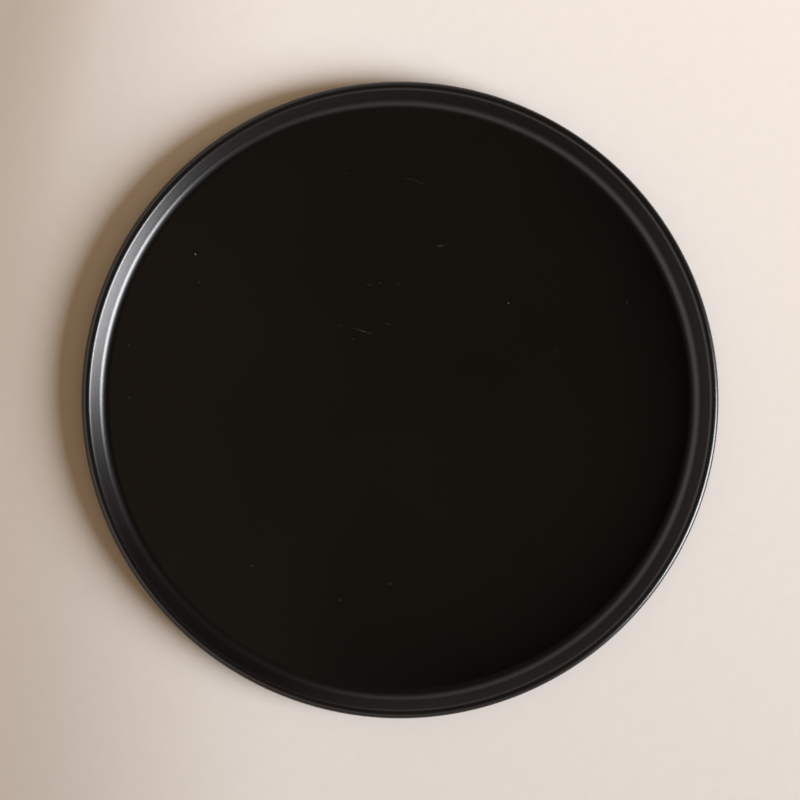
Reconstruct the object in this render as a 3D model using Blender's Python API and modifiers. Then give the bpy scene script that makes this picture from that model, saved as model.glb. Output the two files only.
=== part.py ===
"""A round serving tray: a pressed steel pan whose edge is curled over a wire, on four rubber pads.

Metres, +Z up. The origin is on the table under the middle of the tray.
"""

import math

import bpy
from mathutils import Vector

# Pan
TRAY_DIAMETER = 0.320
RIM_DEPTH = 0.0075
WALL_ANGLE = math.radians(50)
COVE_RADIUS = 0.007
SHEET = 0.0009
CURL_GAP = 0.0005

# Wire inside the curl
WIRE_DIAMETER = 0.0032
WIRE_CLEARANCE = 0.0003
WIRE_BUTT_GAP = 0.001

# Pads under the floor
PAD_COUNT = 4
PAD_DIAMETER = 0.018
PAD_THICKNESS = 0.0012
PAD_BOND = 0.0003
PAD_EDGE_ROUND = 0.0003
PAD_INSET = 0.010
PAD_FIRST_ANGLE = math.radians(45)

# How finely round shapes are cut into flats
TURN_STEPS = 72
COVE_STEPS = 6
CURL_STEP_ANGLE = math.radians(18)
WIRE_BEVEL_RESOLUTION = 2
PAD_SIDES = 24
MERGE_DISTANCE = 0.00001

# What follows from the sizes above
FLOOR_UNDERSIDE = PAD_THICKNESS + PAD_BOND
FLOOR_TOP = FLOOR_UNDERSIDE + SHEET
BEAD_RADIUS = WIRE_DIAMETER / 2 + WIRE_CLEARANCE + SHEET
BEAD_CENTRE = Vector((TRAY_DIAMETER / 2 - BEAD_RADIUS, FLOOR_TOP + RIM_DEPTH - BEAD_RADIUS))


def arc(centre, radius, start, end, steps):
    """Points in the XZ plane along an arc, angles measured from +X towards +Z."""
    angles = [start + (end - start) * i / steps for i in range(steps + 1)]
    return [centre + radius * Vector((math.cos(a), math.sin(a))) for a in angles]


def cove_centre():
    """The point that lies one cove radius above the floor and one from the wall's inner face."""
    facing = Vector((-math.sin(WALL_ANGLE), math.cos(WALL_ANGLE)))
    downhill = Vector((-math.cos(WALL_ANGLE), -math.sin(WALL_ANGLE)))
    start = BEAD_CENTRE + (BEAD_RADIUS + COVE_RADIUS) * facing
    drop = start.y - (FLOOR_TOP + COVE_RADIUS)
    return start + downhill * drop / math.sin(WALL_ANGLE)


def pan_profile():
    """The pan's upper face from the middle of the floor, up the wall and round the curl."""
    wall_normal = math.pi / 2 + WALL_ANGLE
    closing = math.asin((BEAD_RADIUS - SHEET - CURL_GAP) / BEAD_RADIUS)
    curl_end = WALL_ANGLE - math.pi - closing
    middle = [Vector((0, FLOOR_TOP))]
    cove = arc(cove_centre(), COVE_RADIUS, -math.pi / 2, WALL_ANGLE - math.pi / 2, COVE_STEPS)
    curl = [BEAD_CENTRE + BEAD_RADIUS * Vector((math.cos(wall_normal), math.sin(wall_normal)))]
    # The bead's highest and outermost points each end a stretch, so the flats reach the full size
    for start, end in ((wall_normal, math.pi / 2), (math.pi / 2, 0), (0, curl_end)):
        steps = math.ceil((start - end) / CURL_STEP_ANGLE)
        curl += arc(BEAD_CENTRE, BEAD_RADIUS, start, end, steps)[1:]
    return middle + cove + curl


def plain_material(name, colour, roughness, metallic):
    material = bpy.data.materials.new(name)
    material.use_nodes = True
    shader = material.node_tree.nodes["Principled BSDF"]
    shader.inputs["Base Color"].default_value = (*colour, 1)
    shader.inputs["Roughness"].default_value = roughness
    shader.inputs["Metallic"].default_value = metallic
    material.diffuse_color = (*colour, 1)
    return material


def make_pan(collection, material):
    points = pan_profile()
    edges = [(i, i + 1) for i in range(len(points) - 1)]
    mesh = bpy.data.meshes.new("tray_pan")
    mesh.from_pydata([(p.x, 0, p.y) for p in points], edges, [])
    mesh.materials.append(material)
    pan = bpy.data.objects.new("tray_pan", mesh)
    collection.objects.link(pan)

    turn = pan.modifiers.new("Turn", "SCREW")
    turn.steps = TURN_STEPS
    turn.render_steps = TURN_STEPS
    turn.use_merge_vertices = True
    turn.merge_threshold = MERGE_DISTANCE
    turn.use_smooth_shade = True

    wall = pan.modifiers.new("Sheet", "SOLIDIFY")
    wall.thickness = SHEET
    wall.offset = -1
    wall.use_even_offset = True
    return pan


def make_wire(collection, material):
    """An open ring of wire, its cut ends a small gap apart, on the same flats as the pan."""
    ring = BEAD_CENTRE.x
    half_gap = WIRE_BUTT_GAP / 2 / ring
    flats = [math.tau * i / TURN_STEPS for i in range(1, TURN_STEPS)]
    angles = [half_gap] + flats + [math.tau - half_gap]
    curve = bpy.data.curves.new("rim_wire", "CURVE")
    curve.dimensions = "3D"
    curve.bevel_depth = WIRE_DIAMETER / 2
    curve.bevel_resolution = WIRE_BEVEL_RESOLUTION
    curve.use_fill_caps = True
    spline = curve.splines.new("POLY")
    spline.points.add(len(angles) - 1)
    for point, angle in zip(spline.points, angles):
        point.co = (ring * math.cos(angle), ring * math.sin(angle), 0, 1)
    curve.materials.append(material)
    wire = bpy.data.objects.new("rim_wire", curve)
    wire.location.z = BEAD_CENTRE.y
    collection.objects.link(wire)
    return wire


def make_pads(collection, material):
    """Round pads stuck under the flat of the floor, evenly round the middle."""
    circle = cove_centre().x - PAD_INSET - PAD_DIAMETER / 2
    for i in range(PAD_COUNT):
        angle = PAD_FIRST_ANGLE + math.tau * i / PAD_COUNT
        place = (circle * math.cos(angle), circle * math.sin(angle), PAD_THICKNESS / 2)
        bpy.ops.mesh.primitive_cylinder_add(
            vertices=PAD_SIDES, radius=PAD_DIAMETER / 2, depth=PAD_THICKNESS, location=place
        )
        pad = bpy.context.object
        pad.name = f"foot_pad_{i + 1}"
        pad.data.name = pad.name
        pad.data.materials.append(material)
        edge = pad.modifiers.new("Edge", "BEVEL")
        edge.width = PAD_EDGE_ROUND
        edge.segments = 1
        edge.limit_method = "ANGLE"
        edge.angle_limit = math.radians(60)
        for holder in list(pad.users_collection):
            holder.objects.unlink(pad)
        collection.objects.link(pad)


def main():
    for old in list(bpy.data.objects):
        bpy.data.objects.remove(old)
    tray = bpy.data.collections.new("serving_tray")
    bpy.context.scene.collection.children.link(tray)
    make_pan(tray, plain_material("black_coating", (0.009, 0.0075, 0.006), 0.32, 0.0))
    make_wire(tray, plain_material("bare_steel", (0.42, 0.41, 0.39), 0.35, 1.0))
    make_pads(tray, plain_material("black_rubber", (0.018, 0.017, 0.016), 0.8, 0.0))


main()
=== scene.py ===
import math

import bmesh
import bpy
from mathutils import Matrix, Vector


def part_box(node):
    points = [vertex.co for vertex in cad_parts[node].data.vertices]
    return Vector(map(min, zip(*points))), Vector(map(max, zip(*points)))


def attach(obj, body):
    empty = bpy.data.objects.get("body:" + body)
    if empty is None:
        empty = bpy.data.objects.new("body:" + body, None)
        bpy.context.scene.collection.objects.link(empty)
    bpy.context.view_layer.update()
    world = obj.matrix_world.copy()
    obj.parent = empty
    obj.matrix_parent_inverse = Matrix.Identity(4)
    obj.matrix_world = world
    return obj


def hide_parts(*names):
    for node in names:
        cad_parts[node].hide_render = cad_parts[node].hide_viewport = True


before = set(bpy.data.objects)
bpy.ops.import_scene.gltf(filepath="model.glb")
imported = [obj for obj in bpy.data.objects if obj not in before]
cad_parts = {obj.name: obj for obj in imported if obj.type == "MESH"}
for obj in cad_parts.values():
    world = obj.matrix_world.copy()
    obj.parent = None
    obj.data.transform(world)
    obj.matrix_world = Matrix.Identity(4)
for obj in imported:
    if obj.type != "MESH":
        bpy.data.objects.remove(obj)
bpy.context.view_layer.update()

print("frame loaded:", ", ".join(sorted(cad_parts)))

perMetre = 1000  # millimetres
mergeDistance = 1e-7


# node helpers

def startMaterial(name):
    material = bpy.data.materials.new(name)
    material.use_nodes = True
    return material, material.node_tree, material.node_tree.nodes["Principled BSDF"]


def addNode(tree, kind, **inputs):
    node = tree.nodes.new("ShaderNode" + kind)
    for key, value in inputs.items():
        socket = node.inputs[key.replace("_", " ")]
        if isinstance(value, bpy.types.NodeSocket):
            tree.links.new(value, socket)
        else:
            socket.default_value = value
    return node


def mathNode(tree, operation, *values, clamp=False):
    node = tree.nodes.new("ShaderNodeMath")
    node.operation = operation
    node.use_clamp = clamp
    for socket, value in zip(node.inputs, values):
        if isinstance(value, bpy.types.NodeSocket):
            tree.links.new(value, socket)
        else:
            socket.default_value = value
    return node.outputs[0]


def rangeNode(tree, value, low, high, toLow, toHigh, kind="LINEAR"):
    node = addNode(tree, "MapRange", Value=value, From_Min=low, From_Max=high)
    node.inputs["To Min"].default_value = toLow
    node.inputs["To Max"].default_value = toHigh
    node.interpolation_type = kind
    return node.outputs[0]


def blendColours(tree, amount, first, second):
    node = tree.nodes.new("ShaderNodeMix")
    node.data_type = "RGBA"
    tree.links.new(amount, node.inputs["Factor"])
    for socket, colour in ((node.inputs[6], first), (node.inputs[7], second)):
        if isinstance(colour, bpy.types.NodeSocket):
            tree.links.new(colour, socket)
        else:
            socket.default_value = (*colour, 1)
    return node.outputs[2]


def mixValues(tree, amount, first, second):
    node = tree.nodes.new("ShaderNodeMix")
    tree.links.new(amount, node.inputs["Factor"])
    tree.links.new(first, node.inputs[2])
    tree.links.new(second, node.inputs[3])
    return node.outputs[0]


def objectPlace(tree):
    return tree.nodes.new("ShaderNodeTexCoord").outputs["Object"]


def radialPlace(tree, place, fineness, around):
    # distance from the tray's axis, finely, and bearing, coarsely: for lines that run round
    flat = addNode(tree, "VectorMath")
    flat.operation = "MULTIPLY"
    tree.links.new(place, flat.inputs[0])
    flat.inputs[1].default_value = (1, 1, 0)
    length = addNode(tree, "VectorMath")
    length.operation = "LENGTH"
    tree.links.new(flat.outputs[0], length.inputs[0])
    bearing = addNode(tree, "VectorMath")
    bearing.operation = "NORMALIZE"
    tree.links.new(flat.outputs[0], bearing.inputs[0])
    parts = addNode(tree, "SeparateXYZ", Vector=bearing.outputs[0])
    radius = length.outputs["Value"]
    return radius, addNode(
        tree,
        "CombineXYZ",
        X=mathNode(tree, "MULTIPLY", radius, fineness),
        Y=mathNode(tree, "MULTIPLY", parts.outputs["X"], around),
        Z=mathNode(tree, "MULTIPLY", parts.outputs["Y"], around),
    ).outputs[0]


# pan

panLook = {
    "sheet": 0.0009,
    "wallAngle": math.radians(50),
    "coveRadius": 0.007,
    "curlGap": 0.0005,
    "edgeRound": 0.0002,
    "inside": 0.000002,  # keeps the spun bead within the solid's box
    "turnSteps": 360,
    "coveSteps": 18,
    "curlSteps": 44,
    "sharpAngle": math.radians(40),
    "cutAngle": math.radians(60),
}

coatLook = {
    "deep": (0.0022, 0.0017, 0.0013),
    "worn": (0.0031, 0.0025, 0.0019),
    "scuff": (0.075, 0.071, 0.066),
    "dust": (0.20, 0.19, 0.18),
    "floorRough": (0.10, 0.13),
    "wallRough": (0.265, 0.30),
    "ior": 1.57,
    "cloudScale": 11,
    "grainScale": 1500,
    "grainHeight": 0.0000025,
    "lineFineness": 2600,
    "lineAround": 1.2,
    "lineHeight": 0.000003,
    "lineRough": 0.03,
    "lineRange": (0.25, 0.75),
    "cloudRange": (0.3, 0.7),
    "wornRange": (0.35, 0.65),
    "wallBlend": (-0.001, 0.003),  # from the cove's start
    "scuffHalfWidth": 0.0004,
    "scuffRough": 0.3,
    "breakScale": 520,  # breaks the scuffs up
    "breakRange": (0.35, 0.6),
    "breakKept": (0.25, 1.3),
    "speckRadius": 0.0006,
    "dustCell": 70,
    "dustRadius": 0.022,
    "dustShare": 0.12,
    "dustStrength": 0.22,
}

# light marks on the floor: millimetres from the middle, length, turn in degrees, strength
scuffMarks = [
    (4.6, 111.7, 7.0, -9, 0.5),
    (9.8, 110.1, 5.6, -27, 0.55),
    (20.8, 78.0, 5.6, 9, 0.65),
    (-18.4, 34.7, 12.0, -18.5, 0.55),
    (-5.8, 38.4, 4.6, -18, 0.38),
    (-15.6, 58.3, 4.2, -5, 0.25),
    (-0.8, 58.8, 5.0, -30, 0.2),
    (-30.0, 37.7, 3.4, 0, 0.24),
    (24.1, 35.0, 4.4, 5, 0.2),
    (78.0, 24.5, 4.0, 35, 0.26),
]

# grains of dust on the floor: millimetres from the middle, strength
dustGrains = [
    (-103.5, 73.7, 1.0),
    (-101.5, 59.5, 0.14),
    (-136.9, 27.6, 0.2),
    (-136.9, 1.2, 0.18),
    (-74.6, -83.9, 0.2),
    (-30.5, -101.1, 0.2),
    (-5.2, -93.0, 0.2),
    (114.9, 49.3, 0.2),
    (54.8, 49.0, 0.7),
    (-10.3, 59.1, 0.16),
    (-27.3, 114.5, 0.12),
    (-23.8, 30.9, 0.1),
]


def spot(tree, place, middle, halfLength, halfWidth, turn):
    # 1 at the middle of an oval and 0 from its edge out
    mapping = tree.nodes.new("ShaderNodeMapping")
    mapping.vector_type = "TEXTURE"
    tree.links.new(place, mapping.inputs["Vector"])
    mapping.inputs["Location"].default_value = middle
    mapping.inputs["Rotation"].default_value = (0, 0, turn)
    mapping.inputs["Scale"].default_value = (halfLength, halfWidth, 1)
    fade = tree.nodes.new("ShaderNodeTexGradient")
    fade.gradient_type = "SPHERICAL"
    tree.links.new(mapping.outputs[0], fade.inputs[0])
    return fade.outputs["Fac"]


def coatMaterial(floorTop, coveStart):
    material, tree, shader = startMaterial("satinBlackCoat")
    look = coatLook
    place = objectPlace(tree)
    radius, around = radialPlace(tree, place, look["lineFineness"], look["lineAround"])

    cloud = addNode(tree, "TexNoise", Vector=place, Scale=look["cloudScale"], Detail=3, Roughness=0.55)
    grain = addNode(tree, "TexNoise", Vector=place, Scale=look["grainScale"], Detail=2)
    lines = addNode(tree, "TexNoise", Vector=around, Scale=1, Detail=2)
    onWall = rangeNode(tree, radius, *(coveStart + step for step in look["wallBlend"]), 0, 1)

    marks = None
    for x, y, length, turn, strength in scuffMarks:
        middle = (x / perMetre, y / perMetre, floorTop)
        halfLength = length / perMetre / 2
        mark = spot(tree, place, middle, halfLength, look["scuffHalfWidth"], math.radians(turn))
        mark = mathNode(tree, "MULTIPLY", mark, strength)
        marks = mark if marks is None else mathNode(tree, "MAXIMUM", marks, mark)
    broken = addNode(tree, "TexNoise", Vector=place, Scale=look["breakScale"], Detail=1)
    kept = rangeNode(tree, broken.outputs["Fac"], *look["breakRange"], *look["breakKept"])
    marks = mathNode(tree, "MULTIPLY", marks, kept)

    grains = None
    for x, y, strength in dustGrains:
        middle = (x / perMetre, y / perMetre, floorTop)
        speck = spot(tree, place, middle, look["speckRadius"], look["speckRadius"], 0)
        speck = mathNode(tree, "MULTIPLY", speck, strength)
        grains = speck if grains is None else mathNode(tree, "MAXIMUM", grains, speck)

    # fine dust, a grain in a few of the cells
    cells = addNode(tree, "TexVoronoi", Vector=place, Scale=look["dustCell"])
    picked = addNode(tree, "SeparateColor", Color=cells.outputs["Color"]).outputs[0]
    inShare = mathNode(tree, "LESS_THAN", picked, look["dustShare"])
    fine = rangeNode(tree, cells.outputs["Distance"], 0, look["dustRadius"], look["dustStrength"], 0)
    fine = mathNode(tree, "MULTIPLY", fine, inShare)
    grains = mathNode(tree, "MAXIMUM", grains, fine)

    tintAndPaintedShade = rangeNode(tree, cloud.outputs["Fac"], *look["wornRange"], 0, 1)
    colour = blendColours(tree, tintAndPaintedShade, look["deep"], look["worn"])
    colour = blendColours(tree, marks, colour, look["scuff"])
    colour = blendColours(tree, grains, colour, look["dust"])
    tree.links.new(colour, shader.inputs["Base Color"])

    onFloor = rangeNode(tree, cloud.outputs["Fac"], *look["cloudRange"], *look["floorRough"])
    rough = rangeNode(tree, cloud.outputs["Fac"], *look["cloudRange"], *look["wallRough"])
    rough = mixValues(tree, onWall, onFloor, rough)
    lineShift = rangeNode(
        tree, lines.outputs["Fac"], *look["lineRange"], -look["lineRough"], look["lineRough"]
    )
    rough = mathNode(tree, "ADD", rough, mathNode(tree, "MULTIPLY", lineShift, onWall))
    scuffed = mathNode(tree, "MULTIPLY", marks, look["scuffRough"])
    rough = mathNode(tree, "ADD", rough, scuffed, clamp=True)
    tree.links.new(rough, shader.inputs["Roughness"])
    shader.inputs["IOR"].default_value = look["ior"]

    lineLift = mathNode(tree, "MULTIPLY", onWall, look["lineHeight"])
    lineLift = mathNode(tree, "MULTIPLY", lineLift, lines.outputs["Fac"])
    grainLift = mathNode(tree, "MULTIPLY", grain.outputs["Fac"], look["grainHeight"])
    height = mathNode(tree, "ADD", lineLift, grainLift)
    bump = addNode(tree, "Bump", Strength=1.0, Distance=1.0, Height=height)
    tree.links.new(bump.outputs[0], shader.inputs["Normal"])
    return material


def finishPiece(bm, name, material, nodes, sharpAngle):
    mesh = bpy.data.meshes.new(name)
    bm.to_mesh(mesh)
    bm.free()
    mesh.shade_smooth()
    mesh.set_sharp_from_angle(angle=sharpAngle)
    mesh.materials.append(material)
    piece = bpy.data.objects.new(name, mesh)
    bpy.context.scene.collection.objects.link(piece)
    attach(piece, "root")
    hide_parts(*nodes)
    print(name, len(mesh.polygons), "faces")
    return piece


def spinRound(bm, geom, centre, axis, angle, steps):
    return bmesh.ops.spin(bm, geom=geom, cent=centre, axis=axis, angle=angle, steps=steps)


def makePan():
    look = panLook
    low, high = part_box("tray_pan")
    wireLow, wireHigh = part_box("rim_wire")
    wireRadius = (wireHigh.z - wireLow.z) / 2
    bead = Vector((wireHigh.x - wireRadius, 0, (wireHigh.z + wireLow.z) / 2))
    beadRadius = high.x - bead.x - look["inside"]
    floorTop = low.z + look["sheet"]
    slope = look["wallAngle"]
    facing = Vector((-math.sin(slope), 0, math.cos(slope)))
    downhill = Vector((-math.cos(slope), 0, -math.sin(slope)))
    cove = bead + (beadRadius + look["coveRadius"]) * facing
    cove += downhill * (cove.z - floorTop - look["coveRadius"]) / math.sin(slope)
    closing = math.asin((beadRadius - look["sheet"] - look["curlGap"]) / beadRadius)
    wrap = math.pi * 1.5 + closing

    # profile: the cove is spun from the floor's edge, the wall drawn up, the curl spun round the wire
    bm = bmesh.new()
    floorEdge = bm.verts.new((cove.x, 0, floorTop))
    spun = spinRound(bm, [floorEdge], cove, (0, -1, 0), slope, look["coveSteps"])
    wallFoot = [v for v in spun["geom_last"] if isinstance(v, bmesh.types.BMVert)][0]
    wallTop = bmesh.ops.extrude_vert_indiv(bm, verts=[wallFoot])["verts"][0]
    wallTop.co = bead + beadRadius * facing
    spinRound(bm, [wallTop], bead, (0, 1, 0), wrap, look["curlSteps"])
    middle = bmesh.ops.extrude_vert_indiv(bm, verts=[floorEdge])["verts"][0]
    middle.co = (0, 0, floorTop)

    profile = bm.verts[:] + bm.edges[:]
    bmesh.ops.spin(
        bm,
        geom=profile,
        cent=(0, 0, 0),
        axis=(0, 0, 1),
        angle=math.tau,
        steps=look["turnSteps"],
        use_merge=True,
    )
    bmesh.ops.remove_doubles(bm, verts=bm.verts, dist=mergeDistance)
    bmesh.ops.recalc_face_normals(bm, faces=bm.faces)
    floorFace = min(bm.faces, key=lambda f: f.calc_center_median().xy.length)
    if floorFace.normal.z < 0:
        bmesh.ops.reverse_faces(bm, faces=bm.faces)
    bmesh.ops.solidify(bm, geom=bm.faces[:], thickness=look["sheet"])
    cutEdges = [e for e in bm.edges if e.calc_face_angle(0) > look["cutAngle"]]
    print("curl's cut edges:", len(cutEdges))
    bmesh.ops.bevel(
        bm,
        geom=cutEdges,
        offset=look["edgeRound"],
        segments=2,
        affect="EDGES",
        profile=0.5,
        material=-1,
    )

    coat = coatMaterial(floorTop, cove.x)
    return finishPiece(bm, "trayPan", coat, ["tray_pan"], look["sharpAngle"])


makePan()


# wire in the curl

wireLook = {
    "sides": 20,
    "turnSteps": 360,
    "buttGap": 0.001,
    "bright": (0.46, 0.45, 0.43),
    "dull": (0.30, 0.29, 0.275),
    "rough": (0.28, 0.46),
    "roughRange": (0.3, 0.7),
    "lineFineness": 4000,
    "lineAround": 6,
    "spotScale": 300,
    "brightRange": (0.12, 0.4),
    "sharpAngle": math.radians(50),
}


def wireMaterial():
    material, tree, shader = startMaterial("drawnSteel")
    look = wireLook
    place = objectPlace(tree)
    around = radialPlace(tree, place, look["lineFineness"], look["lineAround"])[1]
    lines = addNode(tree, "TexNoise", Vector=around, Scale=1, Detail=3)
    spots = addNode(tree, "TexNoise", Vector=place, Scale=look["spotScale"], Detail=2)
    mixed = mathNode(tree, "MULTIPLY", lines.outputs["Fac"], spots.outputs["Fac"])
    amount = rangeNode(tree, mixed, *look["brightRange"], 0, 1)
    colour = blendColours(tree, amount, look["dull"], look["bright"])
    tree.links.new(colour, shader.inputs["Base Color"])
    rough = rangeNode(tree, lines.outputs["Fac"], *look["roughRange"], *look["rough"])
    tree.links.new(rough, shader.inputs["Roughness"])
    shader.inputs["Metallic"].default_value = 1
    return material


def makeWire():
    look = wireLook
    low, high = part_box("rim_wire")
    wireRadius = (high.z - low.z) / 2
    ring = high.x - wireRadius
    gap = look["buttGap"] / ring
    bm = bmesh.new()
    circle = bmesh.ops.create_circle(bm, cap_ends=True, radius=wireRadius, segments=look["sides"])
    upright = Matrix.Rotation(math.pi / 2, 3, "X")
    pastGap = Matrix.Rotation(gap / 2, 3, "Z")
    bmesh.ops.rotate(bm, verts=circle["verts"], cent=(0, 0, 0), matrix=upright)
    bmesh.ops.translate(bm, verts=circle["verts"], vec=(ring, 0, (low.z + high.z) / 2))
    bmesh.ops.rotate(bm, verts=circle["verts"], cent=(0, 0, 0), matrix=pastGap)
    geom = bm.verts[:] + bm.edges[:] + bm.faces[:]
    spinRound(bm, geom, (0, 0, 0), (0, 0, 1), math.tau - gap, look["turnSteps"])
    bmesh.ops.remove_doubles(bm, verts=bm.verts, dist=mergeDistance)
    bmesh.ops.recalc_face_normals(bm, faces=bm.faces)
    return finishPiece(bm, "rimWire", wireMaterial(), ["rim_wire"], look["sharpAngle"])


makeWire()


# pads

padLook = {
    "sides": 64,
    "edgeRound": 0.00035,
    "grooveInset": 0.0022,
    "grooveWidth": 0.0012,
    "grooveDepth": 0.0003,
    "dark": (0.012, 0.0115, 0.011),
    "dusty": (0.034, 0.032, 0.030),
    "rough": (0.62, 0.85),
    "roughRange": (0.3, 0.7),
    "cloudScale": 160,
    "dustyRange": (0.35, 0.7),
    "grainScale": 2400,
    "grainHeight": 0.00003,
    "sharpAngle": math.radians(50),
}


def padMaterial():
    material, tree, shader = startMaterial("mattRubber")
    look = padLook
    place = objectPlace(tree)
    cloud = addNode(tree, "TexNoise", Vector=place, Scale=look["cloudScale"], Detail=4)
    grain = addNode(tree, "TexNoise", Vector=place, Scale=look["grainScale"], Detail=2)
    amount = rangeNode(tree, cloud.outputs["Fac"], *look["dustyRange"], 0, 1)
    colour = blendColours(tree, amount, look["dark"], look["dusty"])
    tree.links.new(colour, shader.inputs["Base Color"])
    rough = rangeNode(tree, cloud.outputs["Fac"], *look["roughRange"], *look["rough"])
    tree.links.new(rough, shader.inputs["Roughness"])
    lift = grain.outputs["Fac"]
    bump = addNode(tree, "Bump", Strength=1.0, Distance=look["grainHeight"], Height=lift)
    tree.links.new(bump.outputs[0], shader.inputs["Normal"])
    return material


def makePad(node, material):
    look = padLook
    low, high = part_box(node)
    middle = (low + high) / 2
    bm = bmesh.new()
    bmesh.ops.create_cone(
        bm,
        cap_ends=True,
        segments=look["sides"],
        radius1=(high.x - low.x) / 2,
        radius2=(high.x - low.x) / 2,
        depth=high.z - low.z,
    )
    rims = [e for e in bm.edges if abs(e.verts[0].co.z - e.verts[1].co.z) < 1e-9]
    bmesh.ops.bevel(
        bm,
        geom=rims,
        offset=look["edgeRound"],
        segments=4,
        affect="EDGES",
        profile=0.5,
        material=-1,
    )
    under = min(bm.faces, key=lambda f: f.calc_center_median().z)
    bmesh.ops.inset_region(bm, faces=[under], thickness=look["grooveInset"])
    groove = bmesh.ops.inset_region(bm, faces=[under], thickness=look["grooveWidth"])["faces"]
    slant = look["grooveWidth"] / 4
    bmesh.ops.inset_region(bm, faces=groove, thickness=slant, depth=-look["grooveDepth"])
    bmesh.ops.recalc_face_normals(bm, faces=bm.faces)
    bmesh.ops.translate(bm, verts=bm.verts, vec=middle)
    name = "footPad" + node[-1]
    return finishPiece(bm, name, material, [node], look["sharpAngle"])


rubber = padMaterial()
for node in sorted(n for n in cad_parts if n.startswith("foot_pad")):
    makePad(node, rubber)


# table

tableLook = {
    "halfSide": 12,
    "pale": (0.833, 0.833, 0.813),
    "paler": (0.852, 0.852, 0.832),
    "mottleScale": 140,
    "mottleRange": (0.3, 0.7),
    "reach": 0.22,
    # painted light and shade: the levels and tints below make the paper darker and warmer towards the
    # near side, the left and the far left corner, and lighter towards the far side and the right
    "nearPaintedLight": 0.918,
    "farPaintedLight": 1.11,
    "leftFrom": -0.04,
    "leftPaintedShade": (0.665, 0.621, 0.573),
    "rightPaintedLight": (1.063, 1.063, 1.063),
    "cornerLean": 0.25,
    "cornerRange": (0.198, 0.245),
    "cornerPaintedShade": (0.561, 0.514, 0.464),
    "roughness": 0.9,
    "specular": 0.1,
}


def makeTable():
    look = tableLook
    material, tree, shader = startMaterial("palePaper")
    place = objectPlace(tree)
    cloud = addNode(tree, "TexNoise", Vector=place, Scale=look["mottleScale"], Detail=4)
    amount = rangeNode(tree, cloud.outputs["Fac"], *look["mottleRange"], 0, 1)
    reach = look["reach"]
    spread = addNode(tree, "SeparateXYZ", Vector=place)
    # painted light: the paper is darker towards the near side and lighter towards the far side,
    # standing in for the lamp's falloff
    paintedFalloff = rangeNode(tree, spread.outputs["Y"], -reach, reach, look["nearPaintedLight"], look["farPaintedLight"])
    # painted shade and light: the paper turns darker and warmer towards the left and lighter towards
    # the right, standing in for the lamp's falloff
    left = rangeNode(tree, spread.outputs["X"], look["leftFrom"], -reach, 0, 1, "SMOOTHSTEP")
    right = rangeNode(tree, spread.outputs["X"], 0, reach, 0, 1)
    tintAndPaintedShade = blendColours(tree, left, (1, 1, 1), look["leftPaintedShade"])
    tintAndPaintedShade = blendColours(tree, right, tintAndPaintedShade, look["rightPaintedLight"])
    # painted shade: the far left corner is darker and warmer still
    farther = mathNode(tree, "MINIMUM", spread.outputs["Y"], reach)
    leaning = mathNode(tree, "MULTIPLY", farther, look["cornerLean"])
    cornerwards = mathNode(tree, "SUBTRACT", leaning, spread.outputs["X"])
    corner = rangeNode(tree, cornerwards, *look["cornerRange"], 0, 1)
    tintAndPaintedShade = blendColours(tree, corner, tintAndPaintedShade, look["cornerPaintedShade"])
    withPaintedFalloff = tree.nodes.new("ShaderNodeVectorMath")
    withPaintedFalloff.operation = "SCALE"
    mottled = blendColours(tree, amount, look["pale"], look["paler"])
    tree.links.new(mottled, withPaintedFalloff.inputs[0])
    tree.links.new(paintedFalloff, withPaintedFalloff.inputs["Scale"])
    withPaintedShade = tree.nodes.new("ShaderNodeVectorMath")
    withPaintedShade.operation = "MULTIPLY"
    tree.links.new(withPaintedFalloff.outputs[0], withPaintedShade.inputs[0])
    tree.links.new(tintAndPaintedShade, withPaintedShade.inputs[1])
    tree.links.new(withPaintedShade.outputs[0], shader.inputs["Base Color"])
    shader.inputs["Roughness"].default_value = look["roughness"]
    shader.inputs["Specular IOR Level"].default_value = look["specular"]
    bm = bmesh.new()
    bmesh.ops.create_grid(bm, x_segments=2, y_segments=2, size=look["halfSide"])
    mesh = bpy.data.meshes.new("tablePaper")
    bm.to_mesh(mesh)
    bm.free()
    mesh.materials.append(material)
    table = bpy.data.objects.new("tablePaper", mesh)
    bpy.context.scene.collection.objects.link(table)


makeTable()
print("table laid")


# light

keyLook = {
    "azimuth": math.radians(-18.5),
    "lowElevation": math.radians(7),
    "highElevation": math.radians(33.5),
    "halfWidth": math.radians(20.5),
    "distance": 60,
    "radiance": 22.6,
    "colour": (0.985, 0.985, 1.03),
}

# what gloss shows of the room: colours by the cosine from the dark of the ceiling, times patches
worldLook = {
    "darkAzimuth": math.radians(80),
    "darkElevation": math.radians(79),
    "stops": [
        (0.0, (0.18, 0.154, 0.143)),
        (0.25, (0.286, 0.249, 0.234)),
        (0.45, (0.517, 0.454, 0.429)),
        (0.64, (0.68, 0.60, 0.567)),
        (0.77, (0.46, 0.40, 0.374)),
        (0.87, (0.16, 0.133, 0.115)),
        (0.95, (0.112, 0.087, 0.066)),
        (1.0, (0.104, 0.080, 0.061)),
    ],
    # bearing, elevation, full and faded angle from it, and share of the light that it keeps
    "patches": [
        (42, 20, 24, 41, 0.15),
        (335, 55, 28.5, 36, 0.06),
        (190, 38, 15, 52, 2.1),
        (282, 35, 10, 30, 1.6),
        (108, 35, 10, 32, 1.35),
    ],
    "overhead": (8.0, 9.4),  # full and faded angle of what is seen straight above
    "fill": (0.322, 0.219, 0.134),  # even, warm light on matt surfaces; the stops are what gloss shows
}


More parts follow.
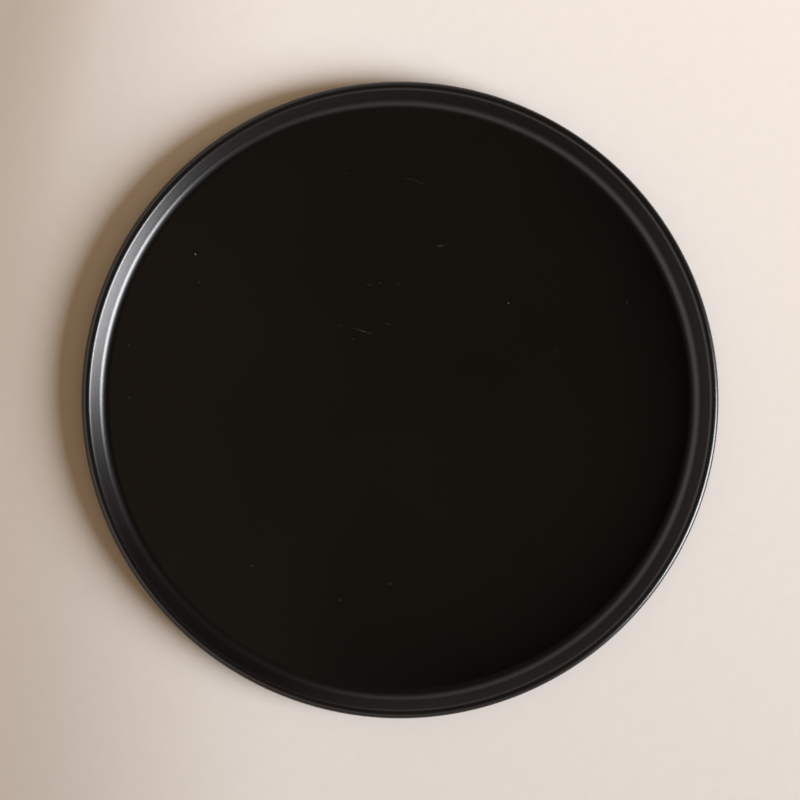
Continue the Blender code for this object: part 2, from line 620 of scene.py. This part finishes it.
def makeKey():
    look = keyLook
    elevation = (look["lowElevation"] + look["highElevation"]) / 2
    spread = (look["highElevation"] - look["lowElevation"]) / 2
    lamp = bpy.data.lights.new("sideSoftbox", "AREA")
    lamp.shape = "ELLIPSE"
    lamp.color = look["colour"]
    lamp.size = 2 * look["distance"] * math.tan(look["halfWidth"])
    lamp.size_y = 2 * look["distance"] * math.tan(spread)
    lamp.energy = look["radiance"] * math.pi * lamp.size * lamp.size_y * math.pi / 4
    softbox = bpy.data.objects.new("sideSoftbox", lamp)
    out = look["distance"] * math.cos(elevation)
    softbox.location = (
        out * math.cos(look["azimuth"]),
        out * math.sin(look["azimuth"]),
        look["distance"] * math.sin(elevation),
    )
    softbox.rotation_euler = (-Vector(softbox.location)).to_track_quat("-Z", "Y").to_euler()
    bpy.context.scene.collection.objects.link(softbox)


def patchNode(tree, direction, azimuth, elevation, inner, outer, away, inside):
    # a round patch of the room: one value inside, another away from it
    level = math.cos(math.radians(elevation))
    near = tree.nodes.new("ShaderNodeVectorMath")
    near.operation = "DOT_PRODUCT"
    tree.links.new(direction, near.inputs[0])
    near.inputs[1].default_value = (
        level * math.cos(math.radians(azimuth)),
        level * math.sin(math.radians(azimuth)),
        math.sin(math.radians(elevation)),
    )
    edges = (math.cos(math.radians(outer)), math.cos(math.radians(inner)))
    return rangeNode(tree, near.outputs["Value"], *edges, away, inside)


def makeWorld():
    look = worldLook
    world = bpy.data.worlds.new("warmRoom")
    bpy.context.scene.world = world
    world.use_nodes = True
    tree = world.node_tree
    direction = tree.nodes.new("ShaderNodeTexCoord").outputs["Generated"]
    fromDark = tree.nodes.new("ShaderNodeVectorMath")
    fromDark.operation = "DOT_PRODUCT"
    tree.links.new(direction, fromDark.inputs[0])
    fromDark.inputs[1].default_value = (
        math.cos(look["darkElevation"]) * math.cos(look["darkAzimuth"]),
        math.cos(look["darkElevation"]) * math.sin(look["darkAzimuth"]),
        math.sin(look["darkElevation"]),
    )
    ramp = addNode(tree, "ValToRGB", Fac=fromDark.outputs["Value"])
    stops = ramp.color_ramp.elements
    while len(stops) < len(look["stops"]):
        stops.new(0.5)
    for stop, (position, colour) in zip(stops, look["stops"]):
        stop.position = position
        stop.color = (*colour, 1)
    share = None
    for azimuth, elevation, inner, outer, kept in look["patches"]:
        patch = patchNode(tree, direction, azimuth, elevation, inner, outer, 1, kept)
        share = patch if share is None else mathNode(tree, "MULTIPLY", share, patch)
    overhead = patchNode(tree, direction, 0, 90, *look["overhead"], 0, 1)
    share = mathNode(tree, "MAXIMUM", share, overhead)
    path = tree.nodes.new("ShaderNodeLightPath").outputs
    seen = mathNode(tree, "ADD", path["Is Camera Ray"], path["Is Glossy Ray"])
    seen = mathNode(tree, "ADD", seen, path["Is Transmission Ray"], clamp=True)
    room = tree.nodes.new("ShaderNodeVectorMath")
    room.operation = "SCALE"
    tree.links.new(ramp.outputs["Color"], room.inputs[0])
    tree.links.new(share, room.inputs["Scale"])
    colour = blendColours(tree, seen, look["fill"], room.outputs[0])
    tree.links.new(colour, tree.nodes["Background"].inputs["Color"])


makeKey()
makeWorld()
print("lights set")


# camera straight over the tray

cameraLook = {
    "heightOverRim": 0.754,
    "rimPixels": 318.4,
    "imagePixels": 800,
    "sensor": 36,
}


def makeCamera():
    look = cameraLook
    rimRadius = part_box("tray_pan")[1].x
    wireLow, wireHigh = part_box("rim_wire")
    camera = bpy.data.cameras.new("overhead")
    camera.sensor_width = look["sensor"]
    perPixel = look["sensor"] / look["imagePixels"]
    camera.lens = perPixel * look["rimPixels"] * look["heightOverRim"] / rimRadius
    holder = bpy.data.objects.new("overhead", camera)
    holder.location = (0, 0, (wireLow.z + wireHigh.z) / 2 + look["heightOverRim"])
    bpy.context.scene.collection.objects.link(holder)
    bpy.context.scene.camera = holder


makeCamera()
bpy.context.scene.view_settings.view_transform = "Standard"
print("camera set")
